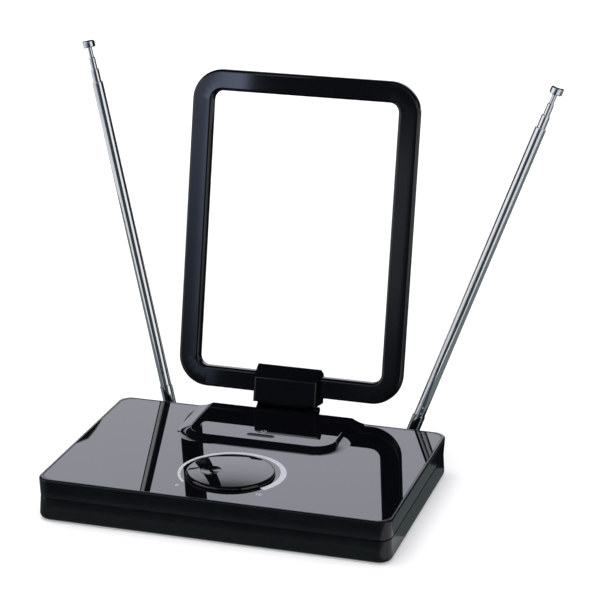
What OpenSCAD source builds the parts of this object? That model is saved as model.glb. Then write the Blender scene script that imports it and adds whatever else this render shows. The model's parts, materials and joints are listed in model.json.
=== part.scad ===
// Amplified indoor television antenna.
// A wide, low base carries a gain knob under a glossy inset panel. Behind it
// stand a flat square loop in a tilting clip and two four-section rod antennas,
// each on its own swivel fork. X runs left to right as the user sees it, Y runs
// to the rear, and Z = 0 is the table that the rubber feet rest on.

/* [Base] */
// Width of the base
body_w = 220.8; // [200:0.2:250]
// Depth of the base
body_d = 148.8; // [140:0.2:170]
// Height of the lower shell, up to the seam
lower_h = 14.5; // [14.3:0.1:18]
// Height of the upper shell, from the seam to its rim
upper_h = 12.3; // [10.5:0.1:14]
// Radius of the base's corners in plan
corner_r = 8.5; // [7:0.5:16]
// Radius of the rounded lower edge
edge_r = 3.4; // [2:0.1:6]
// How far the seam lies inside the widest line of the walls
waist_inset = 0.8; // [0.4:0.1:1.4]
// Thickness of the shell walls at the seam
wall = 2.2; // [1.8:0.1:2.8]
// How far the feet stand out below the lower shell
foot_proud = 0.4; // [0.3:0.1:2]
// Radius of a rubber foot
foot_r = 7; // [5:0.5:9]

/* [Panel] */
// Width of the rim that frames the panel
rim_w = 2; // [1.6:0.1:3]
// Radius of the panel's corners in plan
panel_r = 9; // [6:0.5:14]
// Thickness of the panel
panel_t = 2.4; // [2:0.1:3]
// How far the panel lies below the rim
panel_drop = 0.2; // [0.1:0.05:0.6]
// Width of the raised island at the rear of the panel
island_w = 94; // [80:1:110]
// Depth of the raised island, from its front edge to the rear of the base
island_d = 54.2; // [45:0.2:60]
// Plan radius of the island's front corners
island_r = 12; // [8:0.5:16]
// Radius of the hollow curve that runs from the panel up to the island
cove_r = 18; // [14:0.5:24]
// Slope that the hollow curve reaches at its top, in degrees
cove_slope = 32; // [24:1:38]
// Length of the indicator window in the island
window_l = 16.6; // [10:0.2:24]
// Width of the indicator window
window_w = 3; // [2:0.1:4]

/* [Knob] */
// Radius of the gain knob
knob_r = 27.2; // [18:0.1:29]
// Height of the knob's rim above the panel
knob_rim_h = 2.5; // [2.5:0.1:4]
// Radius of the shallow dome on top of the knob
knob_dome_r = 200; // [120:5:400]
// Distance of the knob's centre in front of the middle of the base
knob_y = 31.2; // [20:0.2:34]
// Distance of the knob's centre to the left of the middle of the base
knob_x = 0.4; // [0:0.1:4]
// Radius of the finger dimple
dimple_r = 6.2; // [4:0.1:7]
// Direction in which the dimple lies, in degrees from +X
dimple_angle = 211; // [200:1:330]
// Diameter of the potentiometer's shaft
shaft_d = 6; // [4:0.5:7]

/* [Loop] */
// Outer width of the loop
loop_w = 151.5; // [120:0.5:151.5]
// Outer height of the loop
loop_h = 208.25; // [150:0.25:230]
// Width of the loop's bar
bar_w = 13.75; // [11:0.25:14.5]
// Thickness of the loop's bar, front to rear
bar_t = 8; // [7:0.1:9]
// Outer corner radius of the loop
loop_r = 20; // [17:0.5:26]
// Radius of the bar's rounded edges
bar_edge = 2; // [1:0.1:2.4]
// How far the loop leans back, in degrees
loop_tilt = 10.4; // [0:0.1:20]

/* [Clip] */
// Width of the clip that holds the loop
clip_w = 42.5; // [40:0.5:50]
// Thickness of the clip in front of the loop's bar
clip_front_t = 6.6; // [4:0.1:7]
// Thickness of the clip behind the loop's bar
clip_back_t = 3.4; // [3:0.1:4.5]
// How much further back the clip reaches at its foot
clip_back_flare = 3.2; // [0:0.1:4]
// Height of the clip below the loop's bar
clip_under = 5.3; // [5:0.1:7]
// Height of the clip above the loop's bar
clip_over = 4.8; // [4.6:0.1:7]
// Diameter of the hinge pin
pin_d = 3; // [2.5:0.1:3.4]

/* [Rods] */
// Distance of each rod's pivot from the side wall
rod_inset = 30.6; // [26:0.2:34]
// How far the left rod leans out, in degrees
left_lean = 14.4; // [5:0.2:40]
// How far the right rod leans out, in degrees
right_lean = 19.8; // [5:0.2:40]
// How far the left rod leans back, in degrees
left_back = 4.6; // [0:0.2:20]
// How far the right rod leans back, in degrees
right_back = 2.2; // [0:0.2:20]
// Outer diameter of the outermost tube
tube_1_d = 7.2; // [7:0.1:7.6]
// Outer diameter of the second tube
tube_2_d = 5.6; // [5.4:0.1:5.8]
// Outer diameter of the third tube
tube_3_d = 4.2; // [4:0.1:4.3]
// Diameter of the innermost rod
tip_d = 3; // [2.6:0.1:3]
// Thickness of the tubes' walls
tube_wall = 0.4; // [0.3:0.05:0.45]
// Length of the outermost tube that shows above its socket
tube_1_l = 205.5; // [150:0.5:240]
// Length of the second tube that shows when it is pushed in
tube_2_l = 8.5; // [5:0.1:14]
// Length of the third tube that shows when it is pushed in
tube_3_l = 7.8; // [5:0.1:14]
// Length of the innermost rod that shows when it is pushed in
tip_l = 6.5; // [4:0.1:14]
// Diameter of the cap on the rod's tip
cap_d = 8.2; // [7:0.1:9]
// Height of the cap on the rod's tip
cap_h = 4.8; // [4:0.1:7]

/* [Clearances] */
// Gap round the panel in its frame
panel_gap = 0.3; // [0.15:0.05:0.5]
// Gap between parts that turn or slide in each other
run_gap = 0.05; // [0.03:0.01:0.08]
// Gap between parts that are pushed or glued together
fit_gap = 0.02; // [0.01:0.01:0.04]
// Side gap between parts that move past each other
side_gap = 0.3; // [0.2:0.05:0.4]

/* [Hidden] */
$fn = 64;

// Levels of the base
bottom_z = foot_proud;
floor_t = wall;
floor_z = bottom_z + floor_t;
seam_z = bottom_z + lower_h;
rim_z = seam_z + upper_h;
panel_z = rim_z - panel_drop;
ledge_z = panel_z - panel_t;

// Insets of the walls, measured inwards from the widest outline
lower_inset = 0.1;
rim_inset = 0.2;
groove = 0.4;
groove_h = 0.5;
top_edge = 1.2;
cavity_inset = waist_inset + wall;
lip_gap = 0.15;
lip_t = 1.1;
lip_up = 1.5;
lip_down = 2.5;
ledge_t = 1.8;
ledge_w = 3;
rear_y = body_d / 2;

// Island and its hollow curve
crest_r = 1.2;
cove_w = (cove_r + crest_r) * sin(cove_slope);
island_h = (cove_r + crest_r) * (1 - cos(cove_slope));
island_z = panel_z + island_h;
island_front = rear_y - island_d;
window_y = island_front + 7.5;
panel_back = rear_y - rim_inset;
pipe_gap = 0.1;

// Circuit board and what stands on it
board_t = 1.6;
board_w = 96;
board_front = -48;
board_rear = 62;
board_z = floor_z + 2;
board_top = board_z + board_t;
board_screw_x = board_w / 2 - 5;
board_screw_y = [board_front + 5, board_rear - 20];
board_hole_r = 1.6;
board_screw_r = 1.2;
post_r = 3.2;
pot_size = 17;
pot_h = 7;
bushing_r = shaft_d / 2 + 1.2;
bushing_h = 3;
hub_r = shaft_d / 2 + 1.6;
hub_drop = 6;
knob_under = 0.5;
led_r = 1.5;
led_h = 5;
shield_w = 34;
shield_d = 28;
shield_h = 6;
shield_wall = 0.5;
shield_x = -26;
shield_y = 6;

// Weights, feet and case screws
weight_w = 30;
weight_d = 90;
weight_h = 4;
weight_x = 72;
peg_r = 2.5;
foot_x = body_w / 2 - corner_r - foot_r - 2;
foot_y = body_d / 2 - corner_r - foot_r;
foot_recess = 0.8;
case_screw_r = 1.5;
boss_r = 3.4;
case_screw_x = body_w / 2 - cavity_inset - boss_r - side_gap / 2;
case_screw_y = body_d / 2 - 33;
boss_z = floor_z + 6;
head_r = 2.8;
head_h = 2;
head_z = bottom_z + 3.2;

// Sockets in the rear wall
coax_x = -30;
coax_z = bottom_z + 8.8;
coax_r = 4.7;
coax_core_r = coax_r - 0.2;
coax_out = 9;
coax_block = 13;
coax_nut_af = 11;
coax_nut_t = 2.2;
contact_r = 0.6;
jack_x = 30;
jack_w = 9;
jack_d = 14;
jack_h = 9.2;
jack_z = board_top + 4.1;
jack_r = 3.9;
jack_bore_r = 3.1;
jack_bore_l = 9;
jack_pin_r = 1.05;
wall_y = rear_y - waist_inset;

// Hinge of the loop
pin_y = rear_y + 9.3;
pin_z = rim_z + 1.1;
lug_r = 2.7;
lug_t = 4.2;
tongue_w = 29.4;
lug_in = tongue_w / 2 + side_gap;
lug_out = lug_in + lug_t;
pin_head_r = 2.6;
pin_head_h = 3;

// Loop and clip, in a frame that stands upright on the hinge axis
bar_front = -0.3;
bar_mid = bar_front + bar_t / 2;
bar_back = bar_front + bar_t;
bar_z = lug_r + side_gap + clip_under;
clip_z = bar_z - clip_under;
clip_top = bar_z + bar_w + clip_over;
clip_y0 = bar_front - clip_front_t;
clip_y1 = bar_back + clip_back_t;
clip_crease = clip_top - 7.4;
clip_edge = 1.6;
conductor_w = bar_w - 4.4;
conductor_t = 1;
clip_screw_x = clip_w / 2 - 7;
clip_screw_r = 1.2;
clip_screw_z = clip_z + clip_under / 2;
clip_head_r = 1.9;
clip_head_h = 1.4;
clip_seat_y = clip_y1 - clip_head_h - 0.2;

// Rods, along their own axis from the pivot
rod_x = body_w / 2 - rod_inset;
rod_y = rear_y + 13.8;
rod_z = bottom_z + 8.6;
boss_out = 3;
boss_len = 14;
swivel_r = 3;
swivel_boss_r = 5.4;
thread_r = 2.5;
disc_t = 2.4;
disc_r = 5.2;
cheek_t = 2;
tongue_t = 3;
cheek_r = 4;
rivet_r = 1.5;
rivet_head_r = 2.5;
rivet_head_h = 0.8;
nut_af = 8;
nut_t = 3;
washer_t = 0.6;
socket_r = 4.1;
socket_start = 6;
socket_floor = 12;
socket_top = 24;
neck_l = 3;
sleeve_l = 8;
tube_1_top = socket_top + tube_1_l;
tube_2_top = tube_1_top + tube_2_l;
tube_3_top = tube_2_top + tube_3_l;
tip_top = tube_3_top + tip_l;
tube_1_foot = socket_floor;
tube_2_foot = tube_1_foot + 2;
tube_3_foot = tube_2_foot + 2.5;
tip_foot = tube_3_foot + 2.5;
crimp_r = 1;

// Points of an arc, from one angle to another
function arc(x, y, r, from, to, steps) =
    [for (i = [0:steps]) let (a = from + (to - from) * i / steps) [x + r * cos(a), y + r * sin(a)]];

// Flat rounded rectangle
module plate(w, d, r) {
    square([w - 2 * r, d], center = true);
    square([w, d - 2 * r], center = true);
    for (x = [-1, 1], y = [-1, 1])
        translate([x * (w / 2 - r), y * (d / 2 - r)]) circle(r);
}

// Rounded block whose side follows a profile of [inset, z] points, lowest first
module contoured(w, d, r, profile) {
    low = profile[0][1];
    high = profile[len(profile) - 1][1];
    for (x = [-1, 1], y = [-1, 1])
        translate([x * (w / 2 - r), y * (d / 2 - r), 0]) rotate_extrude()
            polygon(concat([[0, low]], [for (p = profile) [r - p[0], p[1]]], [[0, high]]));
    rotate([90, 0, 90]) linear_extrude(w - 2 * r, center = true) flanks(d, profile);
    rotate([90, 0, 0]) linear_extrude(d - 2 * r, center = true) flanks(w, profile);
}

// Section through a contoured block
module flanks(span, profile) {
    last = len(profile) - 1;
    polygon(concat(
        [for (p = profile) [span / 2 - p[0], p[1]]],
        [for (i = [last:-1:0]) [profile[i][0] - span / 2, profile[i][1]]]));
}

// Cylinder along Y, from y0 to y1
module rod_along_y(r, y0, y1) {
    translate([0, y0, 0]) rotate([-90, 0, 0]) cylinder(r = r, h = y1 - y0);
}

// Cylinder along X, from x0 to x1
module rod_along_x(r, x0, x1) {
    translate([x0, 0, 0]) rotate([0, 90, 0]) cylinder(r = r, h = x1 - x0);
}

// Places a child at the four points (+-x, +-y)
module at_corners(x, y) {
    for (sx = [-1, 1], sy = [-1, 1]) translate([sx * x, sy * y, 0]) children();
}

// Base shells

lower_profile = concat(
    [for (p = arc(0, 0, edge_r, -90, 0, 7))
        [lower_inset + edge_r - p[0], bottom_z + edge_r + p[1]]],
    [[waist_inset, seam_z - groove_h], [waist_inset + groove, seam_z]]);

upper_profile = concat(
    [[waist_inset + groove, seam_z], [waist_inset, seam_z + groove_h]],
    [for (p = arc(0, 0, top_edge, 0, 90, 4))
        [rim_inset + top_edge - p[0], rim_z - top_edge + p[1]]]);

module inset_plate(inset) {
    plate(body_w - 2 * inset, body_d - 2 * inset, max(corner_r - inset, 2));
}

// Outline of the panel, or of its frame
module panel_plate(gap) {
    inset = rim_w + gap;
    plate(body_w - 2 * inset, body_d - 2 * inset, panel_r - gap);
}

module board_posts() {
    for (x = [-1, 1], y = board_screw_y)
        translate([x * board_screw_x, y, 0]) children();
}

module lower_shell() {
    color([0.07, 0.08, 0.08]) difference() {
        union() {
            difference() {
                contoured(body_w, body_d, corner_r, lower_profile);
                translate([0, 0, floor_z]) linear_extrude(lower_h) inset_plate(cavity_inset);
            }
            alignment_lip();
            board_posts() translate([0, 0, floor_z - 0.5])
                cylinder(r = post_r, h = board_z - floor_z + 0.5);
            at_corners(case_screw_x, case_screw_y) translate([0, 0, floor_z - 0.5])
                cylinder(r = boss_r, h = boss_z - floor_z + 0.5);
            for (x = [-1, 1], y = [-1, 1])
                translate([x * weight_x, y * weight_d / 4, floor_z - 0.5])
                    cylinder(r = peg_r, h = weight_h + 1.5);
            for (x = [-1, 1]) translate([x * rod_x, 0, rod_z])
                rod_along_y(swivel_boss_r, wall_y + boss_out - boss_len, wall_y + boss_out);
        }
        board_posts() translate([0, 0, floor_z + 0.2])
            cylinder(r = board_screw_r + fit_gap, h = 5);
        at_corners(case_screw_x, case_screw_y) {
            cylinder(r = case_screw_r + side_gap, h = boss_z + 1);
            cylinder(r = head_r + side_gap, h = head_z);
        }
        at_corners(foot_x, foot_y) translate([0, 0, bottom_z - 1])
            cylinder(r = foot_r + 0.1, h = foot_recess + 1);
        for (x = [-1, 1]) translate([x * rod_x, 0, rod_z])
            rod_along_y(swivel_r + run_gap, wall_y - 2 * boss_len, wall_y + boss_out + 1);
        translate([coax_x, 0, coax_z]) rod_along_y(coax_core_r + 0.3, wall_y - 6, rear_y + 1);
        translate([jack_x, 0, jack_z]) rod_along_y(jack_r + 0.2, wall_y - 6, rear_y + 1);
    }
}

// Lip inside the seam that keeps the upper shell in line
module alignment_lip() {
    difference() {
        translate([0, 0, seam_z - lip_down]) linear_extrude(lip_down + lip_up) difference() {
            inset_plate(cavity_inset - 0.05);
            inset_plate(cavity_inset + lip_t);
        }
        translate([0, 0, seam_z]) linear_extrude(lip_up + 1) difference() {
            inset_plate(cavity_inset - 1);
            inset_plate(cavity_inset);
        }
        at_corners(case_screw_x, case_screw_y) translate([0, 0, boss_z])
            cylinder(r = boss_r + side_gap, h = lower_h);
    }
}

module upper_shell() {
    color([0.08, 0.09, 0.09]) difference() {
        union() {
            difference() {
                contoured(body_w, body_d, corner_r, upper_profile);
                translate([0, 0, seam_z - 1]) linear_extrude(ledge_z - ledge_t - seam_z + 1)
                    inset_plate(cavity_inset - lip_gap);
                translate([0, 0, seam_z]) linear_extrude(upper_h)
                    panel_plate(panel_gap + ledge_w);
                translate([0, 0, ledge_z]) linear_extrude(upper_h) panel_plate(0);
                translate([0, rear_y, ledge_z + upper_h / 2])
                    cube([island_w + 2 * cove_w + 2 * panel_gap, 4 * rim_w, upper_h], center = true);
            }
            at_corners(case_screw_x, case_screw_y) translate([0, 0, boss_z])
                cylinder(r = boss_r, h = ledge_z - ledge_t / 2 - boss_z);
            for (x = [-1, 1]) scale([x, 1, 1]) translate([lug_in, 0, 0]) hinge_lug();
        }
        at_corners(case_screw_x, case_screw_y) translate([0, 0, boss_z - 1])
            cylinder(r = case_screw_r - 0.25, h = 10);
        translate([0, pin_y, pin_z]) rod_along_x(pin_d / 2 + fit_gap, -lug_out - 1, lug_out + 1);
    }
}

// One of the two ears on the rear wall that carry the hinge pin
module hinge_lug() {
    root_y = wall_y - 1;
    rotate([90, 0, 90]) linear_extrude(lug_t) {
        translate([pin_y, pin_z]) circle(lug_r);
        polygon([
            [root_y, seam_z + 1.5], [rear_y + 1, seam_z + 1.5],
            [pin_y + lug_r * cos(-30), pin_z + lug_r * sin(-30)],
            [pin_y + lug_r * cos(120), pin_z + lug_r * sin(120)],
            [rear_y + panel_gap, rim_z - top_edge], [rear_y + panel_gap, ledge_z], [root_y, ledge_z]]);
    }
}

// Panel and what shows through it

cove_sink = 0.03;
cove_profile = concat(
    [[0, panel_z - 1.2]],
    [for (p = arc(0, cove_r, cove_r, -90, cove_slope - 90, 7)) [p[0], panel_z - cove_sink + p[1]]],
    [for (p = arc(cove_w, island_h - crest_r, crest_r, 90 + cove_slope * 0.75, 90, 3))
        [p[0], panel_z + p[1]]]);

module top_panel() {
    color([0.05, 0.05, 0.06]) difference() {
        union() {
            translate([0, 0, ledge_z]) linear_extrude(panel_t)
                panel_plate(panel_gap);
            intersection() {
                translate([0, rear_y + 40 - (island_d + cove_w + 40) / 2, 0])
                    contoured(island_w + 2 * cove_w, island_d + cove_w + 40,
                        island_r + cove_w, cove_profile);
                translate([0, panel_back / 2, panel_z]) cube([body_w, panel_back, 20], center = true);
            }
            translate([-island_w / 2 - cove_w, panel_back - 10, ledge_z])
                cube([island_w + 2 * cove_w, 10, panel_t - 0.6]);
        }
        at_knob() translate([0, 0, ledge_z - 1]) cylinder(r = hub_r + side_gap, h = panel_t + 2);
        translate([0, window_y, ledge_z - 1]) linear_extrude(20) stadium(window_l, window_w);
        island_hollow();
    }
}

// The island is hollow from below, so that its roof is as thick as the panel
module island_hollow() {
    side = 5;
    translate([-island_w / 2 + side, island_front + side + 8, ledge_z - 1])
        cube([island_w - 2 * side, island_d - 2 * side - 8, island_h + 1]);
}

module stadium(l, w) {
    square([l - w, w], center = true);
    for (x = [-1, 1]) translate([x * (l - w) / 2, 0]) circle(w / 2);
}

module light_pipe() {
    pipe_z = board_top + led_h + 0.4;
    flange_z = ledge_z - 1.2;
    color([0.25, 0.27, 0.3]) translate([0, window_y, 0]) {
        translate([0, 0, pipe_z]) linear_extrude(island_z - 0.15 - pipe_z)
            stadium(window_l - 2 * pipe_gap, window_w - 2 * pipe_gap);
        translate([0, 0, flange_z]) linear_extrude(1.2) stadium(window_l + 3, window_w + 3);
    }
}

module power_led() {
    color([0.1, 0.6, 0.2]) translate([0, window_y, board_top]) {
        cylinder(r = led_r + 0.4, h = 1);
        cylinder(r = led_r, h = led_h - led_r);
        translate([0, 0, led_h - led_r]) sphere(led_r);
    }
}

// Gain knob and its potentiometer

module at_knob() {
    translate([-knob_x, -knob_y, 0]) children();
}

module gain_knob() {
    edge = 1.8;
    crown = knob_r - edge;
    base_z = panel_z + knob_under;
    rim_top = panel_z + knob_rim_h;
    drop = asin(crown / knob_dome_r);
    centre_z = rim_top - knob_dome_r * cos(drop);
    dome = arc(0, centre_z, knob_dome_r, 90 - drop, 90, 8);
    skirt_t = 1.4;
    color([0.05, 0.05, 0.06]) at_knob() difference() {
        union() {
            rotate_extrude() polygon(concat(
                [[0, base_z], [knob_r, base_z]],
                arc(crown, rim_top - edge, edge, 0, 70, 4),
                dome));
            translate([0, 0, ledge_z - hub_drop]) cylinder(r = hub_r, h = hub_drop + panel_t + 1);
        }
        translate([0, 0, base_z - 1]) difference() {
            cylinder(r = knob_r - skirt_t, h = 1.4);
            translate([0, 0, -1]) cylinder(r = hub_r, h = 4);
        }
        translate([0, 0, ledge_z - hub_drop - 1]) intersection() {
            cylinder(r = shaft_d / 2 + fit_gap, h = hub_drop + panel_t + 1.5);
            translate([-shaft_d, -shaft_d / 2 + 1 - fit_gap, 0])
                cube([2 * shaft_d, 2 * shaft_d, 20]);
        }
        rotate(dimple_angle) translate([knob_r * 0.55, 0, rim_top + 1.1 + 3 * dimple_r])
            sphere(sqrt(pow(3 * dimple_r, 2) + pow(dimple_r, 2)), $fn = 96);
    }
}

module potentiometer() {
    color([0.2, 0.35, 0.25]) at_knob() translate([0, 0, board_top]) difference() {
        union() {
            translate([-pot_size / 2, -pot_size / 2, 0]) cube([pot_size, pot_size, pot_h]);
            cylinder(r = bushing_r, h = pot_h + bushing_h);
        }
        translate([0, 0, 1]) cylinder(r = shaft_d / 2 + run_gap, h = pot_h + bushing_h);
    }
}

module potentiometer_shaft() {
    flat_z = board_top + pot_h + bushing_h + 0.4;
    top = ledge_z + panel_t;
    color([0.7, 0.7, 0.72]) at_knob() difference() {
        translate([0, 0, board_top + 1.1]) cylinder(r = shaft_d / 2, h = top - board_top - 1.1);
        translate([-shaft_d, -shaft_d / 2 - 9, flat_z]) cube([2 * shaft_d, 10, 30]);
    }
}

// Inside the base

module circuit_board() {
    color([0.1, 0.35, 0.2]) difference() {
        translate([-board_w / 2, board_front, board_z])
            cube([board_w, board_rear - board_front, board_t]);
        board_posts() cylinder(r = board_hole_r, h = 20);
    }
}

module amplifier_shield() {
    color([0.75, 0.76, 0.78]) translate([shield_x - shield_w / 2, shield_y - shield_d / 2, board_top])
        difference() {
            cube([shield_w, shield_d, shield_h]);
            translate([shield_wall, shield_wall, -1])
                cube([shield_w - 2 * shield_wall, shield_d - 2 * shield_wall, shield_h - shield_wall + 1]);
        }
}

module board_screws() {
    color([0.75, 0.75, 0.77]) board_posts() {
        translate([0, 0, floor_z + 0.3]) cylinder(r = board_screw_r, h = board_top - floor_z);
        translate([0, 0, board_top]) cylinder(r = 2.3, h = 1.5);
    }
}

module base_weight() {
    difference() {
        translate([-weight_w / 2, -weight_d / 2, floor_z]) cube([weight_w, weight_d, weight_h]);
        for (y = [-1, 1]) translate([0, y * weight_d / 4, floor_z - 1])
            cylinder(r = peg_r + 0.1, h = weight_h + 2);
    }
}

module left_weight() {
    color([0.4, 0.4, 0.42]) translate([-weight_x, 0, 0]) base_weight();
}

module right_weight() {
    color([0.4, 0.4, 0.42]) translate([weight_x, 0, 0]) base_weight();
}

module rubber_feet() {
    color([0.1, 0.1, 0.1]) at_corners(foot_x, foot_y) rotate_extrude()
        polygon([[0, 0], [foot_r - 0.4, 0], [foot_r, 0.4],
            [foot_r, bottom_z + foot_recess], [0, bottom_z + foot_recess]]);
}

module case_screws() {
    color([0.7, 0.7, 0.72]) at_corners(case_screw_x, case_screw_y) difference() {
        union() {
            translate([0, 0, head_z - head_h]) cylinder(r = head_r, h = head_h);
            translate([0, 0, head_z]) cylinder(r = case_screw_r - 0.27, h = 12);
        }
        for (a = [0, 90]) rotate(a) translate([0, 0, head_z - head_h])
            cube([3.2, 0.7, 1.6], center = true);
    }
}

// Rear sockets

module coax_socket() {
    color([0.78, 0.76, 0.7]) translate([coax_x, 0, coax_z]) difference() {
        union() {
            rod_along_y(coax_core_r, wall_y - 11, rear_y + coax_nut_t);
            rod_along_y(coax_r, rear_y + coax_nut_t, rear_y + coax_out);
            translate([-coax_block / 2, wall_y - wall - 3.2 - 9, -(coax_z - board_top)])
                cube([coax_block, 9, coax_z - board_top + coax_r + 0.6]);
        }
        rod_along_y(coax_r - 1.3, rear_y + coax_out - 0.8, rear_y + coax_out + 1);
        rod_along_y(contact_r, rear_y - 6, rear_y + coax_out);
    }
}

module coax_nut() {
    color([0.8, 0.8, 0.82]) translate([coax_x, 0, coax_z]) difference() {
        translate([0, rear_y, 0]) rotate([-90, 0, 0])
            cylinder(d = coax_nut_af / cos(30), h = coax_nut_t - 0.05, $fn = 6);
        rod_along_y(coax_core_r + fit_gap, rear_y - 1, rear_y + coax_nut_t + 1);
    }
}

module power_jack() {
    front = wall_y - wall - lip_t - 0.4 - jack_d;
    mouth = wall_y + 0.2;
    color([0.1, 0.1, 0.11]) translate([jack_x, 0, 0]) difference() {
        union() {
            translate([-jack_w / 2, front, board_top]) cube([jack_w, jack_d, jack_h]);
            translate([0, 0, jack_z]) rod_along_y(jack_r, front + 2, mouth);
        }
        translate([0, 0, jack_z]) difference() {
            rod_along_y(jack_bore_r, mouth - jack_bore_l, mouth + 1);
            rod_along_y(jack_pin_r, mouth - jack_bore_l - 1, mouth - 1);
        }
    }
}

// Loop, clip and hinge

// Puts a child that stands upright on the hinge axis into its leaning place
module on_hinge() {
    translate([0, pin_y, pin_z]) rotate([-loop_tilt, 0, 0]) children();
}

module hinge_pin() {
    color([0.72, 0.73, 0.75]) translate([0, pin_y, pin_z]) {
        rod_along_x(pin_d / 2, -lug_out, lug_out);
        rod_along_x(pin_head_r, lug_out, lug_out + pin_head_h);
    }
}

// Side view of the whole clip, as [y, z]
clip_side = concat(
    arc(clip_y0 + 1, clip_z + 1, 1, -90, -180, 3),
    arc(clip_y0 + 2, clip_crease - 0.8, 2, 180, 135, 3),
    arc(bar_mid - 1.4, clip_top - 1.6, 1.6, 125, 60, 4),
    arc(clip_y1 - 5, clip_top - 7.2, 5, 50, 0, 5),
    arc(clip_y1 + clip_back_flare - 1, clip_z + 1, 1, 0, -90, 3));

module clip_solid() {
    intersection() {
        rotate([90, 0, 90]) linear_extrude(clip_w, center = true) polygon(clip_side);
        translate([0, (clip_y0 + clip_y1 + clip_back_flare) / 2, clip_z - 1])
            linear_extrude(clip_top - clip_z + 2)
                plate(clip_w, clip_y1 + clip_back_flare - clip_y0, clip_edge);
    }
}

// Room in the clip for the loop's bar
module bar_channel() {
    translate([-clip_w, bar_front - 0.1, bar_z - 0.1])
        cube([2 * clip_w, bar_t + 0.2, bar_w + 0.2]);
}

module clip_front() {
    color([0.06, 0.06, 0.07]) on_hinge() difference() {
        union() {
            intersection() {
                clip_solid();
                translate([-clip_w, -50, -50]) cube([2 * clip_w, 50 + bar_mid, 100]);
            }
            rotate([90, 0, 90]) linear_extrude(tongue_w, center = true) {
                circle(lug_r);
                polygon([[-lug_r, 0], [lug_r, 0], [lug_r, clip_z + 1], [-lug_r, clip_z + 1]]);
            }
        }
        bar_channel();
        rod_along_x(pin_d / 2 + run_gap, -clip_w, clip_w);
        for (x = [-1, 1]) translate([x * clip_screw_x, 0, clip_screw_z])
            rod_along_y(clip_screw_r + fit_gap, bar_front - 2, clip_y1);
    }
}

module clip_back() {
    color([0.06, 0.06, 0.07]) on_hinge() difference() {
        intersection() {
            clip_solid();
            translate([-clip_w, bar_mid, -50]) cube([2 * clip_w, 50, 100]);
        }
        bar_channel();
        for (x = [-1, 1]) translate([x * clip_screw_x, 0, clip_screw_z]) {
            rod_along_y(clip_screw_r + 0.1, bar_mid - 1, clip_seat_y + 1);
            rod_along_y(clip_head_r + 0.2, clip_seat_y, clip_y1 + clip_back_flare + 1);
        }
    }
}

module clip_screws() {
    color([0.7, 0.7, 0.72]) on_hinge()
        for (x = [-1, 1]) translate([x * clip_screw_x, 0, clip_screw_z]) {
            rod_along_y(clip_screw_r, bar_front - 1.8, clip_seat_y);
            rod_along_y(clip_head_r, clip_seat_y, clip_seat_y + clip_head_h);
        }
}

// Half of the loop's casing, drawn flat with its outer face up
module loop_half() {
    outer_side = concat([[0, 0]], [for (p = arc(0, 0, bar_edge, 0, 90, 4))
        [bar_edge - p[0], bar_t / 2 - bar_edge + p[1]]]);
    inner_side = concat([[0, -1]], [for (p = arc(0, 0, bar_edge, 0, 90, 4))
        [p[0] - bar_edge, bar_t / 2 - bar_edge + p[1]]]);
    opening_r = loop_r - bar_w;
    difference() {
        contoured(loop_w, loop_h, loop_r, outer_side);
        contoured(loop_w - 2 * bar_w, loop_h - 2 * bar_w, opening_r, inner_side);
        translate([0, 0, -1]) linear_extrude(1 + conductor_t / 2 + 0.05) conductor_outline(0.1);
    }
}

// Outline of the metal frame inside the loop, widened by a gap
module conductor_outline(gap) {
    middle = bar_w / 2;
    half = conductor_w / 2 + gap;
    difference() {
        plate(loop_w - 2 * (middle - half), loop_h - 2 * (middle - half), loop_r - middle + half);
        plate(loop_w - 2 * (middle + half), loop_h - 2 * (middle + half), loop_r - middle - half);
    }
}

module loop_front_shell() {
    color([0.07, 0.08, 0.1]) on_hinge()
        translate([0, bar_mid, bar_z + loop_h / 2]) rotate([90, 0, 0]) loop_half();
}

module loop_rear_shell() {
    color([0.07, 0.08, 0.1]) on_hinge()
        translate([0, bar_mid, bar_z + loop_h / 2]) rotate([-90, 0, 0]) loop_half();
}

module loop_conductor() {
    color([0.8, 0.65, 0.35]) on_hinge()
        translate([0, bar_mid, bar_z + loop_h / 2]) rotate([90, 0, 0])
            linear_extrude(conductor_t, center = true) conductor_outline(0);
}

// Rod antennas

// Frame of the swivel: origin at the pivot, turned by the rod's lean
module on_swivel(side) {
    lean = side < 0 ? -left_lean : right_lean;
    translate([side * rod_x, rod_y, rod_z]) rotate([0, lean, 0]) children();
}

// Frame of the rod: Z runs along the rod, away from the pivot
module on_rod(side) {
    back = side < 0 ? left_back : right_back;
    on_swivel(side) rotate([-back, 0, 0]) children();
}

module swivel_fork(side) {
    boss_end = wall_y + boss_out - rod_y;
    disc_y = boss_end + side_gap;
    inner_end = boss_end - boss_len;
    half = tongue_t / 2 + run_gap + cheek_t;
    color([0.78, 0.79, 0.8]) on_swivel(side) difference() {
        union() {
            rod_along_y(swivel_r, inner_end, disc_y);
            rod_along_y(thread_r, inner_end - washer_t - nut_t - 1, inner_end);
            rod_along_y(disc_r, disc_y, disc_y + disc_t);
            rod_along_x(cheek_r, -half, half);
            intersection() {
                translate([-half, disc_y + disc_t / 2, -cheek_r])
                    cube([2 * half, -disc_y - disc_t / 2, 2 * cheek_r]);
                rod_along_y(disc_r, disc_y, 1);
            }
        }
        translate([-tongue_t / 2 - run_gap, disc_y + disc_t, -2 * cheek_r])
            cube([tongue_t + 2 * run_gap, 30, 4 * cheek_r]);
        rod_along_x(rivet_r + fit_gap, -half - 1, half + 1);
    }
}

module spring_washer(side) {
    inner_end = wall_y + boss_out - rod_y - boss_len;
    color([0.6, 0.6, 0.62]) on_swivel(side) difference() {
        rod_along_y(nut_af / 2, inner_end - washer_t, inner_end);
        rod_along_y(thread_r + fit_gap, inner_end - 2, inner_end + 1);
    }
}

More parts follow.
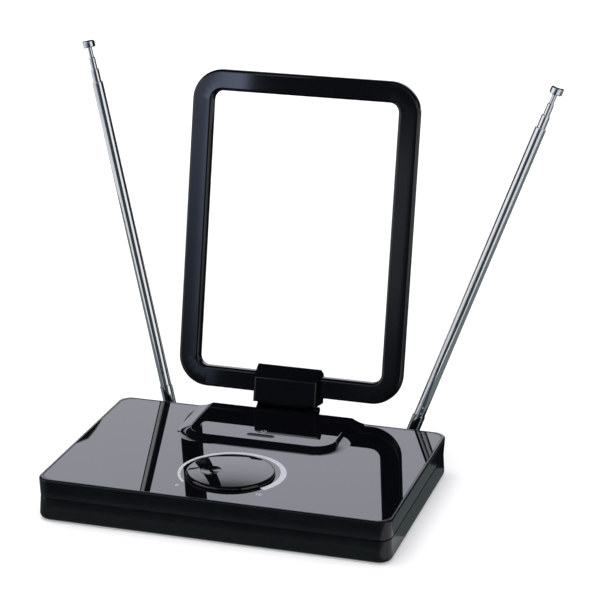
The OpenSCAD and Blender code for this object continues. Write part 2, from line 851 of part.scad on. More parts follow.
module swivel_nut(side) {
    inner_end = wall_y + boss_out - rod_y - boss_len;
    color([0.75, 0.75, 0.77]) on_swivel(side) difference() {
        translate([0, inner_end - washer_t - nut_t, 0]) rotate([-90, 0, 0])
            cylinder(d = nut_af / cos(30), h = nut_t, $fn = 6);
        rod_along_y(thread_r + fit_gap, inner_end - 9, inner_end);
    }
}

module rod_rivet(side) {
    half = tongue_t / 2 + run_gap + cheek_t;
    color([0.75, 0.76, 0.78]) on_swivel(side) {
        rod_along_x(rivet_r, -half, half);
        rod_along_x(rivet_head_r, -half - rivet_head_h, -half);
        rod_along_x(rivet_head_r, half, half + rivet_head_h);
    }
}

module rod_socket(side) {
    tongue_r = cheek_r - 0.2;
    color([0.8, 0.81, 0.83]) on_rod(side) difference() {
        union() {
            rod_along_x(tongue_r, -tongue_t / 2, tongue_t / 2);
            translate([-tongue_t / 2, -tongue_r, 0]) cube([tongue_t, 2 * tongue_r, socket_start + 1]);
            translate([0, 0, socket_start]) rotate_extrude() polygon([
                [0, 0], [socket_r - 0.6, 0], [socket_r, 0.6],
                [socket_r, socket_top - socket_start - 0.3],
                [socket_r - 0.3, socket_top - socket_start], [0, socket_top - socket_start]]);
        }
        rod_along_x(rivet_r + run_gap, -5, 5);
        translate([0, 0, socket_floor]) cylinder(r = tube_1_d / 2 + fit_gap, h = 20);
    }
}

// Drawn tube from foot to top: its mouth is rolled in to guide the next section
module drawn_tube(d, foot, top, next_d) {
    bore = d / 2 - tube_wall;
    mouth = next_d / 2 + run_gap;
    rotate_extrude() polygon([
        [bore, foot], [d / 2, foot], [d / 2, top - 0.6], [d / 2 - 0.25, top],
        [mouth, top], [mouth, top - neck_l], [bore, top - neck_l - 0.8]]);
}

// Brass friction sleeve, rolled onto the foot of a sliding section
module foot_sleeve(outer_d, inner_r, foot) {
    reach = outer_d / 2 - tube_wall - run_gap;
    rotate_extrude() polygon([
        [inner_r, foot], [reach - 0.2, foot], [reach, foot + 0.8],
        [reach, foot + sleeve_l - 0.8], [reach - 0.2, foot + sleeve_l], [inner_r, foot + sleeve_l]]);
}

module tube_1(side) {
    toward = side < 0 ? 150 : -75;
    color([0.85, 0.86, 0.88]) on_rod(side) difference() {
        drawn_tube(tube_1_d, tube_1_foot, tube_1_top, tube_2_d);
        for (z = [2.6, 7]) translate([0, 0, socket_top + z]) rotate(toward)
            translate([tube_1_d / 2 + crimp_r * 0.7, 0, 0]) sphere(crimp_r, $fn = 24);
    }
}

module tube_2(side) {
    color([0.85, 0.86, 0.88]) on_rod(side) {
        drawn_tube(tube_2_d, tube_2_foot, tube_2_top, tube_3_d);
        foot_sleeve(tube_1_d, tube_2_d / 2 - tube_wall, tube_2_foot);
    }
}

module tube_3(side) {
    color([0.85, 0.86, 0.88]) on_rod(side) {
        drawn_tube(tube_3_d, tube_3_foot, tube_3_top, tip_d);
        foot_sleeve(tube_2_d, tube_3_d / 2 - tube_wall, tube_3_foot);
    }
}

module tip_rod(side) {
    color([0.85, 0.86, 0.88]) on_rod(side) {
        translate([0, 0, tip_foot]) cylinder(d = tip_d, h = tip_top - tip_foot + cap_h / 2);
        foot_sleeve(tube_3_d, 0, tip_foot);
    }
}

module rod_cap(side) {
    r = cap_d / 2;
    color([0.85, 0.86, 0.88]) on_rod(side) difference() {
        translate([0, 0, tip_top]) rotate_extrude() polygon(concat(
            [[0, 0], [r - 0.5, 0], [r, 0.5]],
            arc(r - 1.2, cap_h - 1.2, 1.2, 0, 80, 4),
            [[0, cap_h]]));
        translate([0, 0, tip_top - 1]) cylinder(r = tip_d / 2 + fit_gap, h = cap_h / 2 + 1.1);
    }
}

module left_fork() { swivel_fork(-1); }
module left_spring_washer() { spring_washer(-1); }
module left_swivel_nut() { swivel_nut(-1); }
module left_rivet() { rod_rivet(-1); }
module left_rod_socket() { rod_socket(-1); }
module left_tube_1() { tube_1(-1); }
module left_tube_2() { tube_2(-1); }
module left_tube_3() { tube_3(-1); }
module left_tip_rod() { tip_rod(-1); }
module left_rod_cap() { rod_cap(-1); }
module right_fork() { swivel_fork(1); }
module right_spring_washer() { spring_washer(1); }
module right_swivel_nut() { swivel_nut(1); }
module right_rivet() { rod_rivet(1); }
module right_rod_socket() { rod_socket(1); }
module right_tube_1() { tube_1(1); }
module right_tube_2() { tube_2(1); }
module right_tube_3() { tube_3(1); }
module right_tip_rod() { tip_rod(1); }
module right_rod_cap() { rod_cap(1); }

lower_shell();
upper_shell();
top_panel();
light_pipe();
power_led();
gain_knob();
potentiometer();
potentiometer_shaft();
circuit_board();
amplifier_shield();
board_screws();
left_weight();
right_weight();
rubber_feet();
case_screws();
coax_socket();
coax_nut();
power_jack();
hinge_pin();
clip_front();
clip_back();
clip_screws();
loop_front_shell();
loop_rear_shell();
loop_conductor();
left_fork();
left_spring_washer();
left_swivel_nut();
left_rivet();
left_rod_socket();
left_tube_1();
left_tube_2();
left_tube_3();
left_tip_rod();
left_rod_cap();
right_fork();
right_spring_washer();
right_swivel_nut();
right_rivet();
right_rod_socket();
right_tube_1();
right_tube_2();
right_tube_3();
right_tip_rod();
right_rod_cap();
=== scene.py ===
"""Amplified indoor antenna: finishes, printed marks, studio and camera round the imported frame."""
import json
import math

import bmesh
import bpy
from mathutils import Matrix, Vector


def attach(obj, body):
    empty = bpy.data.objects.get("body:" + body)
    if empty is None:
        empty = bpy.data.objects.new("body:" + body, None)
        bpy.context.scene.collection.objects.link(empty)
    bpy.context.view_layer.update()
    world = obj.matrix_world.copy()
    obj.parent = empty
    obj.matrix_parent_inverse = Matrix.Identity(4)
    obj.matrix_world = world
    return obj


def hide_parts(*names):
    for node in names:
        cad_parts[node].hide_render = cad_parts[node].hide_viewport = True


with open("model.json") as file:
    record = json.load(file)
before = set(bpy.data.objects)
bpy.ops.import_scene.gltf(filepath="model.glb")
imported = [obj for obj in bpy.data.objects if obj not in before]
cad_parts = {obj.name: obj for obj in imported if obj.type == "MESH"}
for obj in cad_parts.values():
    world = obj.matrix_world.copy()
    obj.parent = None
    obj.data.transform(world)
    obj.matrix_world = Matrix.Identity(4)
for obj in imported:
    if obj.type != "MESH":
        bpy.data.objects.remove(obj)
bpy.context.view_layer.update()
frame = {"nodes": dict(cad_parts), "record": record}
NODES = frame["nodes"]
MM = 0.001

# Camera, found by fitting the photograph: 600 by 600 pixels, 36 mm wide sensor
LENS = 131.34
CAMERA_AT = Vector((384.92, -1197.18, 539.19)) * MM
CAMERA_AIM = Vector((33.5, -0.8, 131.8)) * MM
CAMERA_ROLL = math.radians(0.49)

# Places on the base, in millimetres, as the part's source has them
PANEL_Z = 27.0
ISLAND_Z = PANEL_Z + 19.2 * (1 - math.cos(math.radians(32)))
KNOB_CENTRE = (-0.4, -31.2)
KNOB_R = 27.2
SCALE_CENTRE = (-0.1, -29.2)
WINDOW_Y = 27.7
SIGN_AT = (0.0, WINDOW_Y + 6.6)
WINDOW_L = 16.6
WINDOW_W = 3.0


def mm(*point):
    return Vector(point) * MM


def polar(radius, degrees):
    return radius * math.cos(math.radians(degrees)), radius * math.sin(math.radians(degrees))


# Materials

class Shader:
    """A material's node tree, with short calls for the nodes that this scene uses."""

    def __init__(self, name):
        self.material = bpy.data.materials.new(name)
        self.material.use_nodes = True
        self.tree = self.material.node_tree
        self.surface = self.tree.nodes["Principled BSDF"]
        self.place = self.add("ShaderNodeTexCoord").outputs["Object"]

    def add(self, kind, **settings):
        node = self.tree.nodes.new(kind)
        for key, value in settings.items():
            setattr(node, key, value)
        return node

    def join(self, source, target):
        self.tree.links.new(source, target)

    def set(self, **values):
        for key, value in values.items():
            self.surface.inputs[key.replace("_", " ")].default_value = value

    def stretched(self, scale, turn=(0.0, 0.0, 0.0)):
        """Object coordinates, turned and then scaled."""
        node = self.add("ShaderNodeMapping", vector_type="TEXTURE")
        node.inputs["Rotation"].default_value = turn
        node.inputs["Scale"].default_value = [1.0 / s for s in scale]
        self.join(self.place, node.inputs["Vector"])
        return node.outputs["Vector"]

    def noise(self, scale, detail=2.0, roughness=0.5, vector=None):
        node = self.add("ShaderNodeTexNoise")
        node.inputs["Scale"].default_value = scale
        node.inputs["Detail"].default_value = detail
        node.inputs["Roughness"].default_value = roughness
        self.join(vector or self.place, node.inputs["Vector"])
        return node.outputs["Fac"]

    def ramp(self, factor, stops):
        """Numbers or colours along a factor: [(position, value), ...]."""
        node = self.add("ShaderNodeValToRGB")
        elements = node.color_ramp.elements
        while len(elements) < len(stops):
            elements.new(0.5)
        for element, (position, value) in zip(elements, stops):
            element.position = position
            element.color = (*value, 1.0) if isinstance(value, tuple) else (value, value, value, 1.0)
        self.join(factor, node.inputs["Fac"])
        return node.outputs["Color"]

    def vary(self, socket, factor, low, high, start=0.35, end=0.65):
        self.join(self.ramp(factor, [(start, low), (end, high)]), self.surface.inputs[socket])

    def bump(self, height, distance, strength=1.0):
        node = self.add("ShaderNodeBump")
        node.inputs["Strength"].default_value = strength
        node.inputs["Distance"].default_value = distance
        self.join(height, node.inputs["Height"])
        self.join(node.outputs["Normal"], self.surface.inputs["Normal"])


def satin_case():
    """Moulded black shells with a fine spark-eroded grain."""
    s = Shader("satin_case")
    s.set(Specular_IOR_Level=0.45, IOR=1.5)
    s.vary("Base Color", s.noise(60, 3), (0.0026, 0.0038, 0.0046), (0.0040, 0.0054, 0.0062))
    s.vary("Roughness", s.noise(400, 4), 0.16, 0.24)
    s.bump(s.noise(3200, 3, 0.6), 0.00002, 0.35)
    return s.material


def piano_gloss(name, ior, roughness, waviness):
    """Polished black plastic whose surface is never quite flat."""
    s = Shader(name)
    s.set(Base_Color=(0.0025, 0.0028, 0.0040, 1), IOR=ior)
    s.vary("Roughness", s.noise(900, 5, 0.7), roughness, roughness + 0.02, 0.55, 0.8)
    s.bump(s.noise(28, 1.5), waviness, 0.6)
    return s.material


def clip_gloss():
    s = Shader("clip_gloss")
    s.set(Base_Color=(0.0025, 0.0028, 0.0038, 1), IOR=1.5)
    s.vary("Roughness", s.noise(700, 4, 0.6), 0.07, 0.10)
    s.bump(s.noise(1600, 2), 0.00001, 0.3)
    return s.material


def smoked_window():
    s = Shader("smoked_window")
    s.set(IOR=1.5, Roughness=0.25, Specular_IOR_Level=0.05)
    s.vary("Base Color", s.noise(500, 2), (0.002, 0.0022, 0.003), (0.004, 0.0044, 0.006))
    return s.material


def metal(name, colour, roughness, spread, grain_scale=(1, 1, 1), grain=900):
    """Plated or bare metal with fine marks, drawn out along one direction where asked."""
    s = Shader(name)
    s.set(Metallic=1.0)
    marks = s.noise(grain, 3, 0.6, s.stretched(grain_scale))
    dark = tuple(c * 0.93 for c in colour)
    s.vary("Base Color", marks, dark, colour, 0.3, 0.7)
    s.vary("Roughness", marks, roughness, roughness + spread)
    s.bump(marks, 0.000004, 0.25)
    return s.material


def plain_plastic(name, colour, roughness):
    s = Shader(name)
    s.set(IOR=1.5)
    lighter = tuple(c * 1.3 + 0.001 for c in colour)
    s.vary("Base Color", s.noise(300, 3), colour, lighter)
    s.vary("Roughness", s.noise(800, 3), roughness, min(roughness + 0.12, 1.0))
    s.bump(s.noise(2500, 2), 0.00001, 0.3)
    return s.material


def silver_ink():
    """Screen-printed ink with a faint grain and a slightly uneven tone."""
    s = Shader("silver_ink")
    s.set(Specular_IOR_Level=0.3)
    s.vary("Base Color", s.noise(2600, 3), (0.52, 0.53, 0.58), (0.66, 0.67, 0.72))
    s.vary("Roughness", s.noise(1800, 2), 0.45, 0.6)
    return s.material


FINISHES = {
    "case_plastic": satin_case(),
    "panel_gloss": piano_gloss("panel_gloss", 1.62, 0.012, 0.00002),
    "loop_gloss": piano_gloss("loop_gloss", 1.55, 0.05, 0.00002),
    "clip_plastic": clip_gloss(),
    "window": smoked_window(),
    "led": plain_plastic("green_epoxy", (0.02, 0.30, 0.08), 0.15),
    "dark_plastic": plain_plastic("dark_plastic", (0.012, 0.012, 0.013), 0.42),
    "board": plain_plastic("board_laminate", (0.012, 0.10, 0.035), 0.35),
    "foot_rubber": plain_plastic("foot_rubber", (0.012, 0.012, 0.012), 0.75),
    "weight": metal("rolled_steel", (0.34, 0.34, 0.36), 0.42, 0.15),
    "steel": metal("zinc_plate", (0.60, 0.61, 0.63), 0.24, 0.12),
    "black_metal": metal("blackened_pin", (0.035, 0.035, 0.038), 0.34, 0.12),
    "plated_metal": metal("nickel_plate", (0.70, 0.70, 0.70), 0.12, 0.08),
    "rod_chrome": metal("rod_chrome", (0.80, 0.81, 0.83), 0.05, 0.05, (1, 1, 0.05), 1400),
    "conductor": metal("brass_strip", (0.66, 0.47, 0.20), 0.3, 0.12),
}
INK = silver_ink()


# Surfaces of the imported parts

def shading_tree():
    """Joins the loose triangles and lets the light run smoothly over every edge below an angle."""
    tree = bpy.data.node_groups.new("even_shading", "GeometryNodeTree")
    tree.interface.new_socket("Geometry", in_out="INPUT", socket_type="NodeSocketGeometry")
    limit = tree.interface.new_socket("Sharp from", in_out="INPUT", socket_type="NodeSocketFloat")
    limit.default_value = math.radians(32)
    tree.interface.new_socket("Geometry", in_out="OUTPUT", socket_type="NodeSocketGeometry")
    add, join = tree.nodes.new, tree.links.new
    start, end = add("NodeGroupInput"), add("NodeGroupOutput")
    weld = add("GeometryNodeMergeByDistance")
    weld.inputs["Distance"].default_value = 0.002 * MM
    angle, sharp = add("GeometryNodeInputMeshEdgeAngle"), add("FunctionNodeCompare")
    smooth, crease = add("GeometryNodeSetShadeSmooth"), add("GeometryNodeSetShadeSmooth")
    crease.domain = "EDGE"
    crease.inputs["Shade Smooth"].default_value = False
    join(start.outputs["Geometry"], weld.inputs["Geometry"])
    join(weld.outputs["Geometry"], smooth.inputs["Geometry"])
    join(smooth.outputs["Geometry"], crease.inputs["Geometry"])
    join(angle.outputs["Unsigned Angle"], sharp.inputs[0])
    join(start.outputs["Sharp from"], sharp.inputs[1])
    join(sharp.outputs["Result"], crease.inputs["Selection"])
    join(crease.outputs["Geometry"], end.inputs["Geometry"])
    return tree


def dress_packed_parts():
    """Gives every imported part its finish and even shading; the meshes stay as they came."""
    tree = shading_tree()
    for part in frame["record"]["subparts"]:
        piece = NODES[part["node"]]
        piece.data.materials.clear()
        piece.data.materials.append(FINISHES[part["material_slot"]])
        piece.modifiers.new("even_shading", "NODES").node_group = tree
        normals = piece.modifiers.new("flat_faces_first", "WEIGHTED_NORMAL")
        normals.keep_sharp = True


# Pieces

def new_piece(name, mesh, body, finish):
    mesh.materials.clear()
    mesh.materials.append(finish)
    piece = bpy.data.objects.new(name, mesh)
    bpy.context.scene.collection.objects.link(piece)
    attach(piece, body)
    return piece


def from_bmesh(name, bm, smooth=True):
    bmesh.ops.recalc_face_normals(bm, faces=bm.faces)
    for face in bm.faces:
        face.smooth = smooth
    mesh = bpy.data.meshes.new(name)
    bm.to_mesh(mesh)
    bm.free()
    return mesh


class Knob:
    """Numbers of the gain knob, in millimetres, about its own axis."""
    edge = 1.8
    crown = KNOB_R - edge
    base = PANEL_Z + 0.5
    rim_top = PANEL_Z + 2.5
    dome_r = 200.0
    dome_z = rim_top - math.sqrt(dome_r ** 2 - crown ** 2)
    dimple_at = polar(13.2, 210)
    dimple_drop = 18.6
    dimple_z = rim_top + 1.1 + dimple_drop
    dimple_r = math.hypot(dimple_drop, 6.2)
    hub_r = 4.6
    hub_foot = 18.6
    bore_r = 3.02
    bore_top = 28.5
    turns = 180
    top_rings = 18
    # Share of the dimple's radius at which each of the rings near it lies
    dimple_rings = (0.08, 0.2, 0.35, 0.5, 0.65, 0.78, 0.88, 0.94, 0.97,
                    0.985, 1.0, 1.015, 1.03, 1.06, 1.12, 1.2)
    # Directions in which the rounded rim is sampled, in degrees above the level
    rim_slopes = (78, 68, 58, 48, 38, 28, 18, 9, 0)

    @classmethod
    def dome(cls, x, y):
        return cls.dome_z + math.sqrt(cls.dome_r ** 2 - x * x - y * y)

    @classmethod
    def dimple(cls, x, y):
        square = cls.dimple_r ** 2 - (x - cls.dimple_at[0]) ** 2 - (y - cls.dimple_at[1]) ** 2
        return cls.dimple_z - math.sqrt(max(square, 0.0))

    @classmethod
    def top(cls, x, y, soft=0.05):
        """Dome with the dimple pressed in and a small radius where they meet."""
        high, low = cls.dome(x, y), cls.dimple(x, y)
        blend = max(soft - abs(high - low), 0.0) / soft
        return min(high, low) - blend * blend * soft / 4

    @classmethod
    def dimple_edge(cls, angle, near=3.0, far=9.0, halvings=40):
        """Distance from the dimple's middle to where it meets the dome, in one direction."""
        for _ in range(halvings):
            r = (near + far) / 2
            x, y = cls.dimple_at[0] + polar(r, angle)[0], cls.dimple_at[1] + polar(r, angle)[1]
            near, far = (r, far) if cls.dimple(x, y) < cls.dome(x, y) else (near, r)
        return (near + far) / 2

    @classmethod
    def top_ring_points(cls, angles):
        """Rings of the top, from inside the dimple out to the rounded rim."""
        edges = [cls.dimple_edge(a) for a in angles]
        rings = []
        for share in cls.dimple_rings:
            ring = [polar(edge * share, a) for a, edge in zip(angles, edges)]
            rings.append([(x + cls.dimple_at[0], y + cls.dimple_at[1]) for x, y in ring])
        inner, outer = rings[-1], [polar(cls.crown, a) for a in angles]
        for step in range(1, cls.top_rings + 1):
            t = step / cls.top_rings
            rings.append([(x0 + (x1 - x0) * t, y0 + (y1 - y0) * t)
                          for (x0, y0), (x1, y1) in zip(inner, outer)])
        return [[(x, y, cls.top(x, y)) for x, y in ring] for ring in rings]

    @classmethod
    def side_profile(cls):
        """Radius and height down the rim, along the underside, and down the hub to its bore."""
        rim = [(cls.crown + polar(cls.edge, a)[0], cls.rim_top - cls.edge + polar(cls.edge, a)[1])
               for a in cls.rim_slopes]
        return rim + [(KNOB_R, cls.base + 0.1), (KNOB_R - 0.1, cls.base), (cls.hub_r, cls.base),
                      (cls.hub_r, cls.hub_foot + 0.2), (cls.hub_r - 0.2, cls.hub_foot),
                      (cls.bore_r, cls.hub_foot), (cls.bore_r, cls.bore_top)]


def gain_knob():
    """Knob whose top is laid in rings that open from the dimple out to the rim."""
    angles = [360 * i / Knob.turns for i in range(Knob.turns)]
    rings = Knob.top_ring_points(angles)
    for r, z in Knob.side_profile():
        rings.append([(*polar(r, a), z) for a in angles])
    bm = bmesh.new()
    rows = [[bm.verts.new(mm(x + KNOB_CENTRE[0], y + KNOB_CENTRE[1], z)) for x, y, z in ring]
            for ring in rings]
    for low, high in zip(rows, rows[1:]):
        for i in range(Knob.turns):
            j = (i + 1) % Knob.turns
            bm.faces.new((low[i], low[j], high[j], high[i]))
    bm.faces.new(rows[0])
    bm.faces.new(rows[-1])
    mesh = from_bmesh("gain_knob_skin", bm)
    mesh.set_sharp_from_angle(angle=math.radians(40))
    knob = new_piece("gain_knob_skin", mesh, "knob", FINISHES["panel_gloss"])
    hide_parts("gain_knob")


# Printed marks: their thickness, and how far the numerals' strokes are widened, in millimetres
INK_T = 0.04
STROKE_SWELL = 0.06


def flat_print(name, outline, z):
    """Thin printed patch with its top face up; outline in millimetres, counter-clockwise."""
    bm = bmesh.new()
    low = [bm.verts.new(mm(x, y, z)) for x, y in outline]
    high = [bm.verts.new(mm(x, y, z + INK_T)) for x, y in outline]
    count = len(outline)
    for i in range(count):
        j = (i + 1) % count
        bm.faces.new((low[i], low[j], high[j], high[i]))
    bm.faces.new(high)
    bm.faces.new(low[::-1])
    return from_bmesh(name, bm, smooth=False)


def gain_scale():
    """Crescent that grows clockwise round the knob, from the low end to the high end."""
    outer_r, thin, thick = 33.1, 1.5, 4.2
    start, end, steps = 223.0, -37.0, 120
    outer, inner = [], []
    for i in range(steps + 1):
        t = i / steps
        angle = start + (end - start) * t
        width = thin + (thick - thin) * t
        outer.append(polar(outer_r, angle))
        inner.append(polar(outer_r - width, angle))
    outline = [(x + SCALE_CENTRE[0], y + SCALE_CENTRE[1]) for x, y in inner + outer[::-1]]
    return flat_print("gain_scale", outline, PANEL_Z)


def numeral(name, text, at, height):
    """Plain numeral laid flat on the panel, centred on a point."""
    curve = bpy.data.curves.new(name, "FONT")
    curve.body = text
    curve.size = height * 1.4 * MM
    curve.align_x = "CENTER"
    curve.align_y = "CENTER"
    curve.extrude = INK_T / 2 * MM
    curve.offset = STROKE_SWELL * MM
    holder = bpy.data.objects.new(name, curve)
    bpy.context.scene.collection.objects.link(holder)
    mesh = bpy.data.meshes.new_from_object(holder.evaluated_get(bpy.context.evaluated_depsgraph_get()))
    bpy.data.objects.remove(holder)
    mesh.transform(Matrix.Translation(mm(at[0], at[1], PANEL_Z + INK_T / 2)))
    mesh.name = name
    return mesh


def power_sign():
    """Open ring with a stroke in its gap, printed behind the indicator window."""
    ring_r, stroke, gap, steps = 1.7, 0.34, 36, 28
    bar_low, bar_high = 0.7, 2.6
    sweep = [90 + gap + (360 - 2 * gap) * i / steps for i in range(steps + 1)]
    outer = [polar(ring_r + stroke / 2, a) for a in sweep]
    inner = [polar(ring_r - stroke / 2, a) for a in sweep[::-1]]
    bar = [(-stroke / 2, bar_low), (stroke / 2, bar_low), (stroke / 2, bar_high), (-stroke / 2, bar_high)]
    return [flat_print(name, [(x + SIGN_AT[0], y + SIGN_AT[1]) for x, y in outline], ISLAND_Z)
            for name, outline in (("power_ring", outer + inner), ("power_bar", bar))]


def window_edge_shade():
    """Dark ring in the window's own finish round the indicator window: painted shade along the window's
    edge.
    """
    half, radii, steps = (WINDOW_L - WINDOW_W) / 2, (1.56, 2.3), 12
    sweep = [-90 + 180 * i / steps for i in range(steps + 1)]
    loops = []
    for r in radii:
        side = [(half + polar(r, a)[0], polar(r, a)[1]) for a in sweep]
        loops.append(side + [(-x, -y) for x, y in side])
    bm = bmesh.new()
    rows = [[bm.verts.new(mm(x, y + WINDOW_Y, z)) for x, y in loops[k]]
            for k, z in ((0, ISLAND_Z), (1, ISLAND_Z), (1, ISLAND_Z + INK_T), (0, ISLAND_Z + INK_T))]
    count = len(rows[0])
    for k in range(4):
        for i in range(count):
            j = (i + 1) % count
            bm.faces.new((rows[k][i], rows[k][j], rows[(k + 1) % 4][j], rows[(k + 1) % 4][i]))
    # The ring is painted shade at the window's edge, not a print on the panel.
    new_piece("window_edge_shade", from_bmesh("window_edge_shade", bm, smooth=False), "base", FINISHES["window"])


def printed_marks():
    for mesh in (gain_scale(), numeral("scale_low", "0", (-25.6, -57.4), 3.0),
                 numeral("scale_high", "10", (25.0, -56.2), 3.0), *power_sign()):
        new_piece(mesh.name, mesh, "base", INK)


# Studio

def glossy_only(obj):
    """The card shows in reflections and nowhere else."""
    obj.visible_camera = False
    obj.visible_diffuse = False
    obj.visible_transmission = False
    obj.visible_volume_scatter = False
    obj.visible_shadow = False


def card(name, corners, colour, strength):
    """Flat emitting card through its corners, in metres."""
    mesh = bpy.data.meshes.new(name)
    mesh.from_pydata(corners, [], [tuple(range(len(corners)))])
    glow = mesh.attributes.new("glow", "FLOAT", "POINT")
    glow.data.foreach_set("value", [strength] * len(corners))
    set_up_card(name, mesh, colour)


def sheet(name, origin, across, up, levels, sides, colour):
    """Card whose glow follows levels along up, times sides along across; both are [(share, glow), ...]."""
    origin, across, up = Vector(origin), Vector(across), Vector(up)
    points = [origin + across * side + up * rise for rise, _ in levels for side, _ in sides]
    wide = len(sides)
    faces = [(i, i + 1, i + 1 + wide, i + wide)
             for row in range(len(levels) - 1) for i in range(row * wide, row * wide + wide - 1)]
    mesh = bpy.data.meshes.new(name)
    mesh.from_pydata(points, [], faces)
    glow = mesh.attributes.new("glow", "FLOAT", "POINT")
    glow.data.foreach_set("value", [level * side for _, level in levels for _, side in sides])
    set_up_card(name, mesh, colour)


def set_up_card(name, mesh, colour):
    obj = bpy.data.objects.new(name, mesh)
    bpy.context.scene.collection.objects.link(obj)
    material = bpy.data.materials.new(name)
    material.use_nodes = True
    tree = material.node_tree
    tree.nodes.clear()
    out = tree.nodes.new("ShaderNodeOutputMaterial")
    light = tree.nodes.new("ShaderNodeEmission")
    strength = tree.nodes.new("ShaderNodeAttribute")
    strength.attribute_name = "glow"
    light.inputs["Color"].default_value = (*colour, 1)
    tree.links.new(strength.outputs["Fac"], light.inputs["Strength"])
    tree.links.new(light.outputs[0], out.inputs["Surface"])
    mesh.materials.append(material)
    glossy_only(obj)


def white_world():
    """White to the camera and in reflections, and a soft fill on everything else."""
    world = bpy.data.worlds.new("studio")
    bpy.context.scene.world = world
    world.use_nodes = True
    tree = world.node_tree
    tree.nodes.clear()
    out = tree.nodes.new("ShaderNodeOutputWorld")
    seen = tree.nodes.new("ShaderNodeBackground")
    fill = tree.nodes.new("ShaderNodeBackground")
    seen.inputs["Color"].default_value = (1, 1, 1, 1)
    fill.inputs["Color"].default_value = (0.97, 0.98, 1.0, 1)
    fill.inputs["Strength"].default_value = 0.55
    path = tree.nodes.new("ShaderNodeLightPath")
    first = tree.nodes.new("ShaderNodeMath")
    both = tree.nodes.new("ShaderNodeMath")
    first.operation = both.operation = "MAXIMUM"
    mix = tree.nodes.new("ShaderNodeMixShader")
    tree.links.new(path.outputs["Is Camera Ray"], first.inputs[0])
    tree.links.new(path.outputs["Is Glossy Ray"], first.inputs[1])
    tree.links.new(first.outputs[0], both.inputs[0])
    tree.links.new(path.outputs["Is Transmission Ray"], both.inputs[1])
    tree.links.new(both.outputs[0], mix.inputs["Fac"])
    tree.links.new(fill.outputs[0], mix.inputs[1])
    tree.links.new(seen.outputs[0], mix.inputs[2])
    tree.links.new(mix.outputs[0], out.inputs["Surface"])


def pale_floor():
    """Wide pale floor that keeps the object's shadow and meets the white world without a line."""
    mesh = bpy.data.meshes.new("floor")
    size = 6.0
    near_r, far_r, near_lift, far_lift = 0.5, 2.5, 0.34, 1.1
    mesh.from_pydata([(-size, -size, 0), (size, -size, 0), (size, size, 0), (-size, size, 0)],
                     [], [(0, 1, 2, 3)])
    floor = bpy.data.objects.new("floor", mesh)
    bpy.context.scene.collection.objects.link(floor)
    material = bpy.data.materials.new("floor_paper")
    material.use_nodes = True
    tree = material.node_tree
    surface = tree.nodes["Principled BSDF"]
    surface.inputs["Base Color"].default_value = (0.86, 0.86, 0.87, 1)
    surface.inputs["Roughness"].default_value = 1.0
    surface.inputs["Specular IOR Level"].default_value = 0.0
    path = tree.nodes.new("ShaderNodeLightPath")
    place = tree.nodes.new("ShaderNodeTexCoord")
    distance = tree.nodes.new("ShaderNodeVectorMath")
    distance.operation = "LENGTH"
    far = tree.nodes.new("ShaderNodeMapRange")
    far.inputs["From Min"].default_value = near_r
    far.inputs["From Max"].default_value = far_r
    far.inputs["To Min"].default_value = near_lift
    far.inputs["To Max"].default_value = far_lift
    lift = tree.nodes.new("ShaderNodeMath")
    lift.operation = "MULTIPLY"
    tree.links.new(place.outputs["Object"], distance.inputs[0])
    tree.links.new(distance.outputs["Value"], far.inputs["Value"])
    tree.links.new(far.outputs["Result"], lift.inputs[1])
    tree.links.new(path.outputs["Is Camera Ray"], lift.inputs[0])
    surface.inputs["Emission Color"].default_value = (1, 1, 1, 1)
    tree.links.new(lift.outputs[0], surface.inputs["Emission Strength"])
    mesh.materials.append(material)


def lamp(name, at, aim, size, power):
    """Soft lamp that no glossy surface mirrors."""
    data = bpy.data.lights.new(name, "AREA")
    data.shape = "RECTANGLE"
    data.size, data.size_y = size
    data.energy = power
    obj = bpy.data.objects.new(name, data)
    bpy.context.scene.collection.objects.link(obj)
    obj.location = at
    obj.rotation_euler = (Vector(aim) - Vector(at)).to_track_quat("-Z", "Y").to_euler()
    obj.visible_glossy = False


def place_camera():
    data = bpy.data.cameras.new("camera")
    data.sensor_width = 36.0
    data.lens = LENS
    data.clip_end = 100.0
    camera = bpy.data.objects.new("camera", data)
    bpy.context.scene.collection.objects.link(camera)
    ahead = (CAMERA_AIM - CAMERA_AT).normalized()
    right = ahead.cross(Vector((0, 0, 1))).normalized()
    up = right.cross(ahead)
    image_right = right * math.cos(CAMERA_ROLL) + up * math.sin(CAMERA_ROLL)
    image_up = up * math.cos(CAMERA_ROLL) - right * math.sin(CAMERA_ROLL)
    turn = Matrix((image_right, image_up, -ahead)).transposed().to_4x4()
    camera.matrix_world = Matrix.Translation(CAMERA_AT) @ turn
    bpy.context.scene.camera = camera


# Reflector cards, in metres: two upright walls, a ceiling and pieces just above the floor
BACK_Y, FRONT_Y, CEILING_Z = 2.2, -2.2, 1.9
FLOOR_Z, UPPER_FLOOR_Z = 0.0004, 0.0008
DARK = (0.6, 0.8, 1.0)
SKY = (0.95, 0.97, 1.09)
DUSK = (0.84, 1.0, 1.42)
HAZE = (0.9, 0.95, 1.1)
FLOOR_GREY = (0.85, 1.0, 1.02)
LEVEL = [(0, 1), (1, 1)]


def wall(y, outline):
    return [(x, y, z) for x, z in outline]


def box(low_x, high_x, low, high):
    return [(low_x, low), (high_x, low), (high_x, high), (low_x, high)]


def ground(z, outline):
    return [(x, y, z) for x, y in outline]


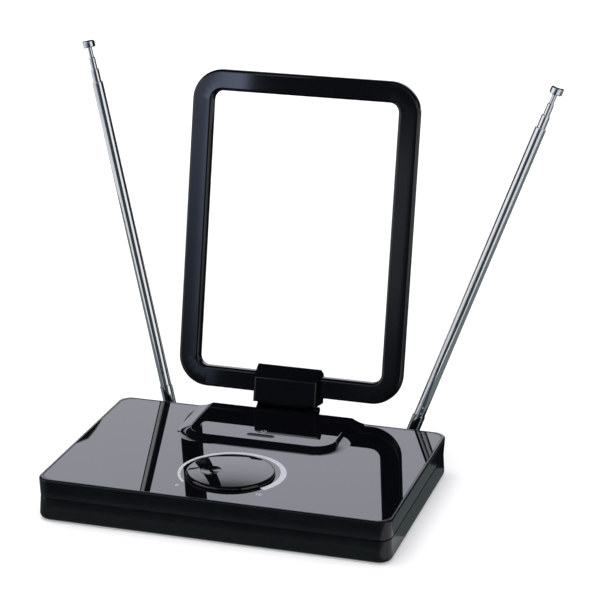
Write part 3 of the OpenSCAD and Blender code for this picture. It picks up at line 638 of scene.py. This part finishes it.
def back_cards():
    """Bright backdrop that the panel mirrors, its dark corner, and flags on both sides of it."""
    left, right, height, flag_top, far = -1.7, 0.35, 2.0, 2.6, 4.0
    sheet("backdrop", (left, BACK_Y, 0.0), (right - left, 0, 0), (0, 0, height),
          [(0.0, 0.9), (0.18, 1.1), (0.40, 1.50), (0.55, 1.66), (0.72, 1.50), (0.82, 1.0), (0.95, 0.3)],
          LEVEL, SKY)
    shade = [(-0.966, 0.905), (-0.975, 0.928), (-0.990, 0.952), (-1.003, 0.968), (-1.024, 0.980),
             (-1.3, 0.980), (-1.3, 0.905)]
    card("left_shade", wall(BACK_Y - 0.01, shade), DARK, 0.01)
    for name, x, end in (("back_left_flag", left, -far), ("back_right_flag", right, far)):
        card(name, [(x, BACK_Y, 0.0), (end, 0.0, 0.0), (end, 0.0, flag_top), (x, BACK_Y, flag_top)],
             DARK, 0.02)


def front_cards():
    """What the front of the loop mirrors: a softbox on the left, then a dark flag with a faint glow."""
    left, edge, right = -1.6, -0.773, 2.2
    sheet("front_softbox", (left, FRONT_Y, 0.0), (edge - left, 0, 0), (0, 0, 1.0),
          [(0.0, 0.10), (0.04, 0.2), (0.1, 0.25), (0.25, 0.5), (0.35, 0.7), (0.43, 0.85), (0.55, 1.0),
           (1.0, 1.0)],
          [(0, 0.8), (0.88, 0.85), (1, 2.6)], DUSK)
    card("front_flag", wall(FRONT_Y, box(edge, right, -0.2, 2.4)), DARK, 0.06)
    sheet("front_glow", (-0.52, FRONT_Y + 0.01, 0.0), (0.12, 0, 0), (0, 0, 0.55),
          [(0.0, 0.06), (0.2, 0.15), (0.4, 0.38), (0.75, 0.42), (1.0, 0.06)], LEVEL, HAZE)
    card("high_front_softbox", wall(FRONT_Y + 0.01, box(left, -left, 0.85, 1.5)), SKY, 0.6)


def floor_cards():
    """Darker ground in reflections, which draws the lines on the rods and blackens the walls."""
    side = [(-0.55, -0.10), (0.112, -0.10), (0.112, -0.03), (0.60, -0.03), (0.60, 1.4), (-0.55, 1.4)]
    rear = [(-0.08, 0.08), (0.13, 0.08), (0.26, 1.3), (-0.16, 1.3)]
    front = [(-0.16, -0.10), (-0.30, -0.5), (-0.95, FRONT_Y), (0.6, FRONT_Y), (0.50, -1.0), (0.20, -0.10)]
    card("side_floor", ground(FLOOR_Z, side), FLOOR_GREY, 0.19)
    card("rear_floor", ground(UPPER_FLOOR_Z, rear), DARK, 0.01)
    card("front_floor", ground(UPPER_FLOOR_Z, front), DARK, 0.07)


def reflector_cards():
    """What the glossy surfaces mirror."""
    back_cards()
    front_cards()
    floor_cards()
    card("ceiling_flag", ground(CEILING_Z, box(-2.5, 2.5, FRONT_Y, BACK_Y)), DARK, 0.01)


place_camera()
white_world()
pale_floor()
lamp("overhead_box", (-0.3, -0.2, 1.7), (0, 0, 0.05), (1.6, 1.2), 16)
reflector_cards()
dress_packed_parts()
gain_knob()
printed_marks()
window_edge_shade()

bpy.context.scene.view_settings.view_transform = "Standard"
